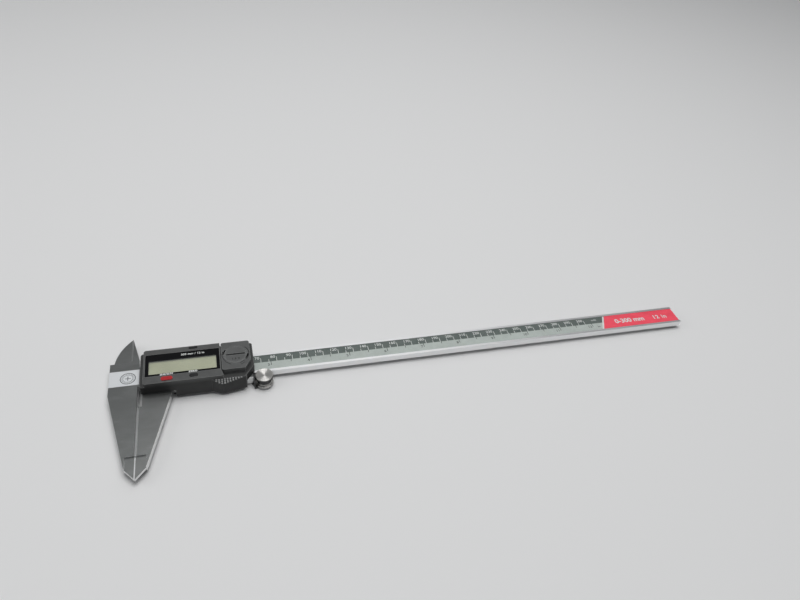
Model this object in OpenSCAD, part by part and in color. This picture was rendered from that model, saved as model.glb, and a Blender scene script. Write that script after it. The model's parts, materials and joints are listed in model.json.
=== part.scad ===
// Digital caliper with a 300 mm (12 in) measuring range, drawn with its jaws closed.
// Design frame: X runs along the beam from the closed jaw faces, Y points towards the inside
// jaws from the middle of the beam, and Z rises out of the beam's front face.
// The finished part is shifted so that its origin is the middle of its lowest plane.

/* [Beam] */
// Width of the beam between its two guiding edges
beam_w = 16; // [15.8:0.1:16.4]
// Thickness of the beam and of the jaws
beam_t = 4; // [3.9:0.1:4.2]
// Distance from the jaw faces to the free end of the beam
beam_end = 377.7; // [376:0.1:384]
// Width of the fixed head beside the jaw faces
head_w = 17.3; // [16.5:0.1:18]
// Width of the shallow groove that holds the scale strip
groove_w = 12.6; // [12:0.1:13]
// Depth of the groove that holds the scale strip
groove_depth = 0.8; // [0.7:0.05:0.9]

/* [Jaws] */
// Distance from the middle of the beam to the tips of the outside jaws
jaw_reach = 73.4; // [72:0.1:76]
// Distance from the middle of the beam to the thinned tips of the outside jaws
nib_reach = 58.7; // [57:0.1:60]
// Width of each outside jaw where its tip starts to taper
nib_w = 6; // [5.6:0.1:6.6]
// Depth of the step on each side of a thinned tip
nib_step = 1.2; // [1:0.1:1.3]
// Distance from the middle of the beam to the tips of the inside jaws
fin_reach = 34.4; // [34:0.1:35.5]
// Distance of the inside measuring edges from the outside jaw faces
fin_x = 5.2; // [5:0.1:5.6]
// Radius of the curved back of the moving inside jaw
fin_curve_r = 34; // [32:1:44]
// Bevel along the measuring faces of the outside jaws
face_bevel = 0.8; // [0.6:0.1:1]

/* [Slider] */
// Distance from the jaw faces to the near end of the slider frame
slider_start = 3.2; // [3:0.1:3.4]
// Distance from the jaw faces to the far end of the slider frame
slider_end = 67.2; // [67:0.1:67.3]
// Thickness of the slider frame behind the beam
web_t = 1.47; // [1.4:0.01:1.47]
// Thickness of the cover on the back of the slider
rear_cover_t = 1; // [1:0.1:1.3]

/* [Housing] */
// Height of the display bezel above the beam
bezel_z = 8.8; // [8.7:0.1:9]
// Height of the ledge under the battery block
ledge_z = 6; // [5.9:0.1:6.1]
// Thickness of the housing front
front_wall = 1.4; // [1.3:0.1:1.5]
// Distance from the middle of the beam to the lower side of the housing
housing_low = 15.2; // [15.1:0.1:15.5]
// Distance from the middle of the beam to the upper side of the housing
housing_high = 12.7; // [12.6:0.1:12.8]

/* [Battery] */
// Height of the battery block above the beam
block_z = 9.7; // [9.6:0.1:9.9]
// Radius of the round battery cap
cap_r = 6.85; // [6.8:0.01:6.9]
// Radius of the button cell
cell_r = 5.8; // [5.7:0.1:5.8]
// Height of the button cell
cell_h = 5.4; // [5.2:0.1:5.4]

/* [Thumb roller] */
// Radius of the two flanges of the thumb roller
roller_flange_r = 5.5; // [5.3:0.1:5.6]
// Distance from the jaw faces to the roller's axis
roller_x = 73.8; // [73.7:0.1:74.2]
// Radius of the roller's fixed pin
axle_r = 1.2; // [1.1:0.05:1.3]

/* [Buttons] */
// Travel of the buttons
button_travel = 0.5; // [0.4:0.05:0.5]
// Clearance around each button in its opening
button_gap = 0.15; // [0.1:0.05:0.2]

/* [Hidden] */
$fn = 64;

// Clearances
slide_gap = 0.02;        // flat faces that slide on each other
face_gap = 0.01;         // half of the gap left between the closed jaw faces
pin_gap = 0.03;          // around a turning pin
big = 500;               // longer than anything that is cut

// Beam
half_w = beam_w / 2;
beam_back = -beam_t;
strip_w = groove_w - 0.2;
strip_end = beam_end - 0.5;
circuit_t = 0.5;
label_t = 0.2;
circuit_z = -groove_depth;
label_z = circuit_z + circuit_t;
end_label_x = 318;                       // where the red label starts on the centre line
end_label_slant = 2.9;                   // how far its slanted edge leans each way
rod_groove_w = 3.4;
rod_groove_depth = 1.5;
rod_groove_x = 36;

// Jaws
jaw_shoulder_y = -13;                    // where the fixed jaw starts to taper
nib_taper_y = -(jaw_reach - 7.2);        // where both tips turn in to their points
moving_jaw_w = 20.5;                     // width of the moving jaw at the slider frame
notch_w = 2.2;                           // relief in the moving jaw beside the beam
notch_y = -24;
head_shoulder_y = 12.7;
fin_split_z = -beam_t / 2;               // the inside jaws share the thickness here
fin_gap = 0.05;                          // half of the gap between the inside jaws
fin_root_y = 13;
moving_fin_root_x = -15.5;
fin_bevel = 0.9;

// Slider frame
rail_top = 0.3;
rail_low_y = -11.5;
rail_high_y = 12;
rail_inner_y = 8.7;
web_back = beam_back - slide_gap - web_t;
cover_back = web_back - rear_cover_t;
gib_w = rail_inner_y - half_w - 0.08;
gib_screw_x = [14, 50];
lock_x = 35;
side_screw_z = beam_back / 2;
gib_screw_r = 1.25;
lock_shank_r = 1.4;
lock_knob_r = 3;
lock_knob_y = 12.9;
lock_knob_len = 5.6;

// Depth rod
rod_w = 3.2;
rod_t = 1.2;
rod_x = 38;
rod_z = beam_back + 0.1;
rod_screw_x = [43, 53];

// Screws from the back
cover_x = [4, 59.4];
cover_screw_x = [8.2, 56.4];
cover_screw_y = [-9.8, 10.3];
cover_screw_r = 0.8;
cover_head_r = 1.5;
cover_head_t = 0.55;
cover_screw_top = 4.5;
boss_r = 1.9;

// Housing
housing_x = [1.4, 68.4];
bezel_x = [3.5, 48.6];
bezel_slant = 1.1;
side_wall = 1;
high_wall = 1.2;
housing_floor = rail_top + 0.02;
cavity_z = bezel_z - front_wall;
ledge_cavity_z = ledge_z - front_wall;
skirt_x = 21.4;
skirt_z = -4.6;
corner_cut = [62.6, -6.6];
edge_r = 1.5;
grip_x = [42.6, 63.4];
grip_apex = [49.4, -17.7];

// Display
window_x = [4.7, 48];
window_y = [-9.3, 8.5];
window_t = 0.6;
window_top = bezel_z - 0.25;
window_gap = 0.1;
glass_x = [6, 46.6];
glass_y = [-7.8, 7];
glass_t = 1.4;
glass_z = cavity_z - 1.3;
holder_wall = 1.1;
connector_x = [8.5, 44];
connector_y = [4.6, 5.7];

// Circuit board
board_z = rail_top + 0.01;
board_t = 0.8;
board_top = board_z + board_t;
dome_h = 0.6;

// Battery
cell_pos = [57.8, 0.6];
block_x = [49.2, 66.65];
block_y = [-11.5, 11.5];
block_corner = [62.9, -5];
well_r = 7.1;
well_bore_r = 6.3;
well_z = board_top + 0.2;
cell_z = board_top + 0.75;
cap_z = cell_z + cell_h + 0.1;
cap_top = block_z - 0.05;
cap_gap = 0.15;
lug_r = cap_r + 0.8;
lug_z = cap_z + 0.1;
lug_t = 0.6;
lug_sweep = 26;
lug_turn = 60;
lug_start = 100;
channel_r = lug_r + cap_gap;
channel_z = [cap_z - 0.05, lug_z + lug_t + 0.15];
coin_slot = [11.6, 1.3, 1];
seal_r = 0.4;
seal_ring_r = cap_r - 0.3;
seal_z = 9;
clip_r = [cell_r + 0.06, cell_r + 0.3];
clip_sweep = 140;

// Buttons: centre, length, width and height above the bezel
power_pos = [17.1, -12.4];
power_size = [6.6, 2.8, 0.5];
zero_pos = [32.5, -12.1];
zero_size = [5.2, 2.4, 0.4];
unit_pos = [32.6, 11.2];
unit_size = [5.4, 1.8, 0.3];
flange_t = 0.8;
stem_r = 0.9;
unit_stem_y = unit_pos[1] - 0.9;

// Thumb roller
groove_r = roller_flange_r - 1.2;
roller_y = -(half_w + groove_r + 0.04);
roller_z = [beam_back - 1.3, 1.9];
roller_groove_z = [beam_back - 0.25, 0.25];
bracket_t = 0.9;
bracket_x = 59.8;
bracket_web_x = [67.3, 68];
bracket_screw_x = [61.7, 65.4];
bracket_screw_y = -9.8;
bracket_eye_r = 3.4;
bracket_screw_r = 0.9;
bracket_head_r = 1.5;
axle_head_r = axle_r + 0.2;
axle_top = 0.6;

// Beam end stop
stop_x = [369, 377.2];
stop_half_w = 6.2;
stop_t = 1;
stop_screw_y = 4.6;
stop_screw_r = 1;
stop_head_r = 1.6;
stop_head_t = 0.9;

// Shift from the design frame to the part's own frame
part_shift = [
    -(beam_end - head_w) / 2,
    (jaw_reach - fin_reach) / 2,
    -cover_back
];

// ---------- shared shapes ----------

// A straight box between two corners
module block_between(low, high) {
    translate(low) cube(high - low);
}

// A rectangle with true round corners
module round_rect(x, y, r) {
    translate([x[0] + r, y[0]]) square([x[1] - x[0] - 2 * r, y[1] - y[0]]);
    translate([x[0], y[0] + r]) square([x[1] - x[0], y[1] - y[0] - 2 * r]);
    for (cx = [x[0] + r, x[1] - r], cy = [y[0] + r, y[1] - r]) translate([cx, cy]) circle(r);
}

// A slot-shaped outline with round ends
module stadium(size) {
    straight = size[0] - size[1];
    square([straight, size[1]], center = true);
    for (side = [-1, 1]) translate([side * straight / 2, 0]) circle(size[1] / 2);
}

// A cylinder along Z between two heights
module post(pos, z, r) {
    translate([pos[0], pos[1], z[0]]) cylinder(h = z[1] - z[0], r = r);
}

// A cylinder along Y between two distances
module side_post(x, y, z, r) {
    translate([x, y[1], z]) rotate([90, 0, 0]) cylinder(h = y[1] - y[0], r = r);
}

// A slice of a disc between two angles
module sector(r, from, sweep) {
    steps = 12;
    polygon(concat([[0, 0]], [for (i = [0:steps])
        let (a = from + sweep * i / steps) [1.2 * r * cos(a), 1.2 * r * sin(a)]]));
}

// A screw pointing along +Z with a slotted flat head at its lower end
module rear_screw(pos, z, head_r, head_t, shank_r) {
    difference() {
        union() {
            post(pos, [z[0], z[0] + head_t], head_r);
            post(pos, [z[0], z[1]], shank_r);
        }
        cross_recess(pos, z[0], head_r);
    }
}

// The crossed driver slots in a screw head that faces -Z
module cross_recess(pos, z, head_r) {
    for (turn = [0, 90]) {
        translate([pos[0], pos[1], z]) rotate([0, 0, turn])
            cube([1.3 * head_r, 0.3 * head_r, 0.5], center = true);
    }
}

// Centre of the arc of radius r that runs from a to b and bulges to the left of that line
function arc_centre(a, b, r) =
    let (mid = (a + b) / 2, along = b - a, half = norm(along) / 2)
    let (back = sqrt(r * r - half * half), unit = along / norm(along))
    [mid[0] + back * unit[1], mid[1] - back * unit[0]];

// ---------- beam ----------

// A wedge that bevels a vertical jaw edge at x = 0
module edge_bevel(size, y, z) {
    translate([0, y[1], z]) rotate([90, 0, 0]) linear_extrude(y[1] - y[0])
        polygon([[-size, 0], [0, -size], [size, 0], [0, size]]);
}

// The outline of the fixed outside jaw and the head
module fixed_jaw_outline() {
    polygon([
        [0, half_w], [-head_w, half_w], [-head_w, jaw_shoulder_y],
        [-nib_w, nib_taper_y], [-face_gap, -jaw_reach], [-face_gap, -half_w], [0, -half_w]
    ]);
}

// The fixed inside jaw, in the front half of the head's thickness
module fixed_fin() {
    difference() {
        translate([0, 0, fin_split_z + fin_gap]) linear_extrude(-fin_split_z - fin_gap) polygon([
            [-head_w, half_w - 1], [-head_w, head_shoulder_y], [-fin_x, head_shoulder_y],
            [-fin_x, fin_reach], [-fin_x + 0.9, fin_reach - 2.2], [0, fin_root_y + 0.3],
            [0, half_w - 1]
        ]);
        translate([-fin_x, 0, 0]) edge_bevel(fin_bevel, [fin_root_y + 1, fin_reach + 1], 0);
    }
}

// Pockets that thin the tips of both outside jaws, front and back
module nib_pockets() {
    for (z = [-nib_step, beam_back - 1]) {
        block_between([-nib_w + 0.3, -jaw_reach - 1, z], [nib_w - 0.3, -nib_reach, z + nib_step + 1]);
    }
}

module beam() {
    color("lightsteelblue") difference() {
        union() {
            block_between([-head_w, -half_w, beam_back], [beam_end, half_w, 0]);
            translate([0, 0, beam_back]) linear_extrude(beam_t) fixed_jaw_outline();
            fixed_fin();
        }
        nib_pockets();
        for (z = [0, beam_back]) edge_bevel(face_bevel, [-nib_reach - 1, -half_w], z);
        block_between([-big, -groove_w / 2, -groove_depth], [big, groove_w / 2, 1]);
        block_between([rod_groove_x, -rod_groove_w / 2, beam_back - 1],
            [big, rod_groove_w / 2, beam_back + rod_groove_depth]);
        for (side = [-1, 1]) {
            post([stop_screw_x(), side * stop_screw_y], [beam_back - 1, beam_back + 2.2],
                stop_screw_r + 0.02);
        }
    }
}

// Both end stop screws sit in the middle of the stop plate
function stop_screw_x() = (stop_x[0] + stop_x[1]) / 2;

// A flat strip that fills the scale groove
module groove_strip(x, z, t) {
    block_between([x[0], -strip_w / 2, z], [x[1], strip_w / 2, z + t]);
}

module scale_circuit() {
    color("darkgreen") groove_strip([0.3, strip_end], circuit_z, circuit_t);
}

module scale_label() {
    color("gainsboro") translate([0, 0, label_z]) linear_extrude(label_t) polygon([
        [0.3, -strip_w / 2], [end_label_x - end_label_slant, -strip_w / 2],
        [end_label_x + end_label_slant, strip_w / 2], [0.3, strip_w / 2]
    ]);
}

module end_label() {
    color("crimson") translate([0, 0, label_z]) linear_extrude(label_t) polygon([
        [end_label_x - end_label_slant, -strip_w / 2], [strip_end, -strip_w / 2],
        [strip_end, strip_w / 2], [end_label_x + end_label_slant, strip_w / 2]
    ]);
}

module head_label() {
    color("whitesmoke") groove_strip([-head_w + 0.1, 0], circuit_z, circuit_t + label_t);
}

module stop_plate() {
    color("silver") difference() {
        translate([0, 0, beam_back - stop_t]) linear_extrude(stop_t)
            round_rect(stop_x, [-stop_half_w, stop_half_w], 1.2);
        for (side = [-1, 1]) {
            post([stop_screw_x(), side * stop_screw_y], [beam_back - 2, beam_back + 1], stop_screw_r + 0.1);
        }
    }
}

module stop_screws() {
    color("dimgray") for (side = [-1, 1]) {
        rear_screw([stop_screw_x(), side * stop_screw_y],
            [beam_back - stop_t - stop_head_t, beam_back + 2], stop_head_r, stop_head_t, stop_screw_r);
    }
}

// ---------- slider frame ----------

// The outline of the moving outside jaw, with its relief notch beside the beam
module moving_jaw_outline() {
    polygon([
        [face_gap, -jaw_reach], [nib_w, nib_taper_y], [moving_jaw_w, rail_low_y + 2],
        [moving_jaw_w, -half_w - slide_gap], [notch_w, -half_w - slide_gap],
        [notch_w, notch_y], [face_gap, notch_y]
    ]);
}

// The outline of the moving inside jaw: a straight measuring edge and a curved back
module moving_fin_outline() {
    root = [moving_fin_root_x, fin_root_y];
    tip = [-fin_x - 0.5, fin_reach];
    intersection() {
        polygon([
            root, [moving_fin_root_x, fin_reach], tip, [-fin_x, fin_reach],
            [-fin_x, fin_root_y], [slider_start + 1, fin_root_y - 0.5]
        ]);
        translate(arc_centre(root, tip, fin_curve_r)) circle(fin_curve_r, $fn = 256);
    }
    polygon([
        [moving_fin_root_x, rail_inner_y], root, [-fin_x, fin_root_y],
        [slider_start + 6, rail_high_y - 0.5], [slider_start + 6, rail_inner_y]
    ]);
}

// The channel that runs on the beam: two rails and a web behind them
module slider_channel() {
    difference() {
        block_between([slider_start, rail_low_y, web_back], [slider_end, rail_high_y, rail_top]);
        block_between([0, -half_w - slide_gap, beam_back - slide_gap], [big, rail_inner_y, rail_top + 1]);
    }
}

module slider_frame() {
    color("silver") difference() {
        union() {
            slider_channel();
            difference() {
                translate([0, 0, beam_back]) linear_extrude(beam_t) moving_jaw_outline();
                nib_pockets();
                for (z = [0, beam_back]) edge_bevel(face_bevel, [-nib_reach - 1, notch_y - 0.5], z);
            }
            translate([0, 0, beam_back]) linear_extrude(fin_split_z - fin_gap - beam_back)
                moving_fin_outline();
        }
        for (x = gib_screw_x) side_post(x, [half_w, rail_high_y + 1], side_screw_z, gib_screw_r);
        side_post(lock_x, [half_w, rail_high_y + 1], side_screw_z, lock_shank_r + pin_gap);
        for (x = cover_screw_x, y = cover_screw_y) post([x, y], [web_back - 1, 1], cover_screw_r + 0.1);
        for (x = rod_screw_x) {
            post([x, 0], [web_back - 1, beam_back + 1], 0.8);
            post([x, 0], [web_back - 1, web_back + 0.7], 1.4);
        }
        for (x = bracket_screw_x) post([x, bracket_screw_y], [web_back - 1, -1], bracket_screw_r);
    }
}

module gib_strip() {
    color("goldenrod") block_between([slider_start + 1.5, half_w + slide_gap, beam_back + 0.1],
        [slider_end - 1.5, half_w + gib_w, -0.1]);
}

// Slotted set screws that press the gib against the beam
module gib_screws() {
    color("dimgray") for (x = gib_screw_x) difference() {
        side_post(x, [half_w + gib_w + 0.02, rail_high_y - 0.4], side_screw_z, gib_screw_r);
        translate([x, rail_high_y - 0.4, side_screw_z]) cube([3, 1.2, 0.4], center = true);
    }
}

// Knurled thumb screw that clamps the slider
module lock_screw() {
    knob_end = lock_knob_y + lock_knob_len;
    color("darkgray") {
        side_post(lock_x, [half_w + gib_w + 0.04, lock_knob_y + 1], side_screw_z, lock_shank_r);
        translate([lock_x, lock_knob_y, side_screw_z]) rotate([-90, 0, 0]) rotate_extrude() polygon([
            [0, 0], [lock_knob_r - 0.9, 0], [lock_knob_r - 0.9, 0.9], [lock_knob_r, 1.3],
            [lock_knob_r, knob_end - lock_knob_y - 0.4], [lock_knob_r - 0.4, knob_end - lock_knob_y],
            [0, knob_end - lock_knob_y]
        ]);
    }
}

module depth_rod() {
    color("lightgray") difference() {
        block_between([rod_x, -rod_w / 2, rod_z], [beam_end, rod_w / 2, rod_z + rod_t]);
        block_between([beam_end - 4, 0.4, rod_z - 1], [big, rod_w, rod_z + rod_t + 1]);
        for (x = rod_screw_x) post([x, 0], [rod_z - 1, rod_z + 1], 0.72);
    }
}

module rod_screws() {
    color("dimgray") for (x = rod_screw_x) {
        rear_screw([x, 0], [web_back + 0.1, rod_z + 0.9], 1.3, 0.55, 0.7);
    }
}

// ---------- back of the slider ----------

module rear_cover() {
    color("dimgray") difference() {
        translate([0, 0, cover_back]) linear_extrude(rear_cover_t)
            round_rect(cover_x, [rail_low_y + 0.1, rail_high_y - 0.1], 1.2);
        for (x = cover_screw_x, y = cover_screw_y) {
            post([x, y], [cover_back - 1, web_back + 1], cover_screw_r + 0.1);
            post([x, y], [cover_back - 1, cover_back + cover_head_t + 0.1], cover_head_r + 0.1);
        }
    }
}

module cover_screws() {
    color("gray") for (x = cover_screw_x, y = cover_screw_y) {
        rear_screw([x, y], [cover_back + 0.1, cover_screw_top], cover_head_r, cover_head_t, cover_screw_r);
    }
}

// ---------- electronics ----------

module circuit_board() {
    low_y = -housing_low + side_wall + 0.3;
    high_y = housing_high - high_wall - 0.3;
    far_x = slider_end - 1.2;
    color("darkgreen") difference() {
        translate([0, 0, board_z]) linear_extrude(board_t) polygon([
            [5, low_y], [bezel_x[1] - 2, low_y], [bezel_x[1] + 1, low_y + 3], [far_x - 4, low_y + 3],
            [far_x, low_y + 7], [far_x, high_y], [5, high_y]
        ]);
        for (x = cover_screw_x, y = cover_screw_y) post([x, y], [0, 2], boss_r + 0.15);
    }
}

// Drop of black resin over the counting chip, in two steps
module processor() {
    color("black") {
        post([24, -2], [board_top, board_top + 0.9], 3.6);
        post([24, -2], [board_top, board_top + 1.3], 2.6);
    }
}

// One snap dome under each button
module switch_domes() {
    color("silver") for (spot = [power_pos, zero_pos, [unit_pos[0], unit_stem_y]]) {
        post([spot[0], spot[1]], [board_top, board_top + 0.3], 0.9);
        post([spot[0], spot[1]], [board_top, board_top + dome_h], 0.6);
    }
}

module lcd_holder() {
    inner_x = [glass_x[0] + holder_wall, glass_x[1] - holder_wall];
    inner_y = [glass_y[0] + holder_wall, glass_y[1] - holder_wall];
    color("white") difference() {
        block_between([glass_x[0], glass_y[0], board_top], [glass_x[1], glass_y[1], glass_z]);
        block_between([inner_x[0], inner_y[0], 0], [inner_x[1], inner_y[1], glass_z - 0.8]);
        block_between([connector_x[0] - 0.1, connector_y[0] - 0.1, 0],
            [connector_x[1] + 0.1, connector_y[1] + 0.1, 10]);
        for (x = cover_screw_x, y = cover_screw_y) post([x, y], [0, 10], boss_r + 0.15);
    }
}

// Layered rubber strip that joins the display glass to the board
module lcd_connector() {
    color("hotpink") block_between([connector_x[0], connector_y[0], board_top],
        [connector_x[1], connector_y[1], glass_z]);
}

module lcd_glass() {
    color("darkkhaki") block_between([glass_x[0], glass_y[0], glass_z],
        [glass_x[1], glass_y[1], glass_z + glass_t]);
}

module display_window() {
    color("black") translate([0, 0, window_top - window_t]) linear_extrude(window_t)
        round_rect(window_x, window_y, 0.6);
}

// ---------- housing ----------

// Plan outline of the whole housing, cut away beside the roller
module housing_outline() {
    intersection() {
        round_rect(housing_x, [-housing_low, housing_high], edge_r);
        polygon([
            [0, -20], [corner_cut[0], -20], [corner_cut[0], -housing_low],
            [housing_x[1], corner_cut[1]], [housing_x[1] + 1, 20], [0, 20]
        ]);
    }
}

// Plan outline of the raised display part of the housing
module bezel_outline() {
    intersection() {
        housing_outline();
        round_rect([bezel_x[0], housing_x[1]], [-housing_low, housing_high], edge_r);
        polygon([
            [0, -20], [bezel_x[1] + bezel_slant, -20], [bezel_x[1] + bezel_slant, -housing_low + 1.4],
            [bezel_x[1], -10.2], [bezel_x[1], 20], [0, 20]
        ]);
    }
}

// Ridge for the thumb on the lower side, with a sloped front
module thumb_grip() {
    intersection() {
        translate([0, 0, skirt_z]) linear_extrude(ledge_z - skirt_z) polygon([
            [grip_x[0], -housing_low + 0.5], [grip_x[0], -housing_low],
            [grip_apex[0] - 2.6, grip_apex[1] + 0.45], [grip_apex[0] - 0.8, grip_apex[1]],
            [grip_apex[0] + 0.9, grip_apex[1] + 0.08], [grip_x[1], -housing_low],
            [grip_x[1] - 2, -housing_low + 0.5]
        ]);
        rotate([90, 0, 90]) linear_extrude(big) polygon([
            [0, skirt_z], [0, ledge_z], [-housing_low, ledge_z],
            [-housing_low - 6, ledge_z - 6], [-housing_low - 6, skirt_z]
        ]);
    }
}

// Lower side wall beside the jaw, with a lip that closes the gap to the slider frame
module skirt() {
    far_x = corner_cut[0] - 0.5;
    block_between([skirt_x, -housing_low, skirt_z], [far_x, -housing_low + side_wall, housing_floor + 1]);
    block_between([skirt_x, -housing_low, skirt_z], [far_x, rail_low_y - 0.1, skirt_z + 1.2]);
}

// The opening that a button needs in the bezel
module button_opening(pos, size) {
    translate([pos[0], pos[1], cavity_z - 1]) linear_extrude(front_wall + 3)
        stadium([size[0] + 2 * button_gap, size[1] + 2 * button_gap]);
}

module front_housing() {
    cavity_low = -housing_low + side_wall;
    cavity_high = housing_high - high_wall;
    color("#3b3d3f") difference() {
        union() {
            translate([0, 0, housing_floor]) linear_extrude(ledge_z - housing_floor) housing_outline();
            translate([0, 0, housing_floor]) linear_extrude(bezel_z - housing_floor) bezel_outline();
            skirt();
            thumb_grip();
        }
        difference() {
            union() {
                block_between([bezel_x[0] + 1.3, cavity_low, housing_floor - 1],
                    [bezel_x[1] - 1.2, cavity_high, cavity_z]);
                translate([0, 0, housing_floor - 1]) linear_extrude(ledge_cavity_z - housing_floor + 1)
                    polygon([
                        [bezel_x[0] + 1.3, cavity_low], [corner_cut[0] - 0.6, cavity_low],
                        [housing_x[1] - 1.2, corner_cut[1] + 0.4], [housing_x[1] - 1.2, cavity_high],
                        [bezel_x[0] + 1.3, cavity_high]
                    ]);
            }
            for (x = cover_screw_x, y = cover_screw_y) {
                post([x, y], [rail_top + 0.02, cavity_z + 1], boss_r);
            }
        }
        for (x = cover_screw_x, y = cover_screw_y) {
            post([x, y], [-1, cover_screw_top + 0.1], cover_screw_r + 0.02);
        }
        block_between([window_x[0] - window_gap, window_y[0] - window_gap, window_top - window_t],
            [window_x[1] + window_gap, window_y[1] + window_gap, bezel_z + 1]);
        block_between([glass_x[0] - 0.2, glass_y[0] - 0.2, 5],
            [glass_x[1] + 0.2, glass_y[1] + 0.2, bezel_z]);
        button_opening(power_pos, power_size);
        button_opening(zero_pos, zero_size);
        button_opening(unit_pos, unit_size);
        // room for the unit button inside the upper wall
        block_between([unit_pos[0] - 3.6, cavity_high - 1, board_top],
            [unit_pos[0] + 3.6, housing_high - 0.4, cavity_z]);
        post(cell_pos, [0, bezel_z], well_r + 0.1);
    }
}

// ---------- battery ----------

// Plan outline of the battery block, with its cut corner towards the roller
module battery_block_outline() {
    intersection() {
        round_rect(block_x, block_y, 1.4);
        polygon([
            [0, -20], [block_corner[0], -20], [block_corner[0], block_y[0]],
            [block_x[1], block_corner[1]], [block_x[1] + 1, 20], [0, 20]
        ]);
    }
}

module battery_block() {
    color("#55585a") difference() {
        union() {
            translate([0, 0, ledge_z]) linear_extrude(block_z - ledge_z) battery_block_outline();
            post(cell_pos, [well_z, ledge_z + 1], well_r);
        }
        post(cell_pos, [0, cap_z], well_bore_r);
        post(cell_pos, channel_z, channel_r);
        post(cell_pos, [channel_z[0], block_z + 1], cap_r + cap_gap);
        // entry slots for the cap's two lugs
        translate([cell_pos[0], cell_pos[1], channel_z[0]]) linear_extrude(block_z) intersection() {
            circle(channel_r);
            for (half = [0, 180]) {
                sector(channel_r, lug_start + lug_turn - lug_sweep / 2 - 3 + half, lug_sweep + 6);
            }
        }
    }
}

module negative_contact() {
    color("silver") {
        post(cell_pos, [board_top, board_top + 0.2], 3.4);
        post(cell_pos, [board_top, cell_z], 1.4);
    }
}

module positive_contact() {
    color("gold") difference() {
        intersection() {
            post(cell_pos, [board_top, cell_z + cell_h - 0.8], clip_r[1]);
            translate([cell_pos[0], cell_pos[1], 0]) linear_extrude(20)
                sector(clip_r[1], 90 - clip_sweep / 2, clip_sweep);
        }
        post(cell_pos, [0, 20], clip_r[0]);
    }
}

// Button cell with the narrower negative pole underneath
module button_cell() {
    color("lightgray") {
        post(cell_pos, [cell_z + 0.5, cell_z + cell_h], cell_r);
        post(cell_pos, [cell_z, cell_z + 0.6], cell_r - 0.7);
    }
}

module battery_cap() {
    color("#4a4d50") difference() {
        union() {
            post(cell_pos, [cap_z, cap_top], cap_r);
            translate([cell_pos[0], cell_pos[1], lug_z]) linear_extrude(lug_t) intersection() {
                circle(lug_r);
                for (half = [0, 180]) sector(lug_r, lug_start - lug_sweep / 2 + half, lug_sweep);
            }
        }
        translate([cell_pos[0], cell_pos[1], cap_top])
            cube([coin_slot[0], coin_slot[1], 2 * coin_slot[2]], center = true);
        translate([cell_pos[0], cell_pos[1], seal_z - seal_r - 0.02]) rotate_extrude()
            translate([seal_ring_r - seal_r - 0.05, 0]) square([2, 2 * seal_r + 0.04]);
    }
}

// Rubber ring in the groove of the battery cap
module cap_seal() {
    color("black") translate([cell_pos[0], cell_pos[1], seal_z]) rotate_extrude()
        translate([seal_ring_r, 0]) circle(seal_r);
}

// ---------- buttons ----------

// A button with a retaining flange under the bezel and a stem over its snap dome
module push_button(pos, size, flange_grow, stem_y) {
    flange_top = cavity_z - 0.1;
    stem_low = board_top + dome_h + button_travel + 0.1;
    translate([pos[0], pos[1], flange_top - flange_t]) {
        linear_extrude(bezel_z + size[2] - flange_top + flange_t) stadium([size[0], size[1]]);
        linear_extrude(flange_t) stadium([size[0] + flange_grow[0], size[1] + flange_grow[1]]);
    }
    post([pos[0], stem_y], [stem_low, flange_top], min(stem_r, size[1] / 2 - 0.1));
}

module power_button() {
    color("red") push_button(power_pos, power_size, [1, 0.4], power_pos[1]);
}

module zero_button() {
    color("#202122") push_button(zero_pos, zero_size, [1, 0.6], zero_pos[1]);
}

module unit_button() {
    color("#202122") push_button(unit_pos, unit_size, [0.9, 0], unit_stem_y);
}

// ---------- thumb roller ----------

module roller_bracket() {
    bracket_z = [web_back - bracket_t, web_back];
    color("dimgray") difference() {
        union() {
            block_between([bracket_x, rail_low_y + 0.2, bracket_z[0]],
                [bracket_web_x[1], -3.5, bracket_z[1]]);
            translate([0, 0, bracket_z[0]]) linear_extrude(bracket_t) polygon([
                [bracket_web_x[0] - 1.3, -5], [bracket_web_x[0] - 1.3, rail_low_y],
                [bracket_web_x[1], roller_y - bracket_eye_r], [roller_x, roller_y - bracket_eye_r],
                [roller_x, roller_y + bracket_eye_r]
            ]);
            post([roller_x, roller_y], bracket_z, bracket_eye_r);
            block_between([bracket_web_x[0], roller_y - bracket_eye_r, bracket_z[0]],
                [bracket_web_x[1], -half_w - 0.5, -0.6]);
        }
        post([roller_x, roller_y], [-20, 0], axle_r);
        for (x = bracket_screw_x) {
            post([x, bracket_screw_y], [-20, 0], bracket_screw_r + 0.1);
            post([x, bracket_screw_y], [-20, bracket_z[0] + 0.6], bracket_head_r + 0.1);
        }
    }
}

module bracket_screws() {
    color("gray") for (x = bracket_screw_x) {
        rear_screw([x, bracket_screw_y], [web_back - bracket_t + 0.05, -1.2],
            bracket_head_r, 0.55, bracket_screw_r);
    }
}

// Fixed pin with a snap head inside the roller
module roller_axle() {
    color("silver") {
        post([roller_x, roller_y], [web_back - bracket_t, axle_top], axle_r);
        post([roller_x, roller_y], [axle_top - 0.6, axle_top], axle_head_r);
    }
}

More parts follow.
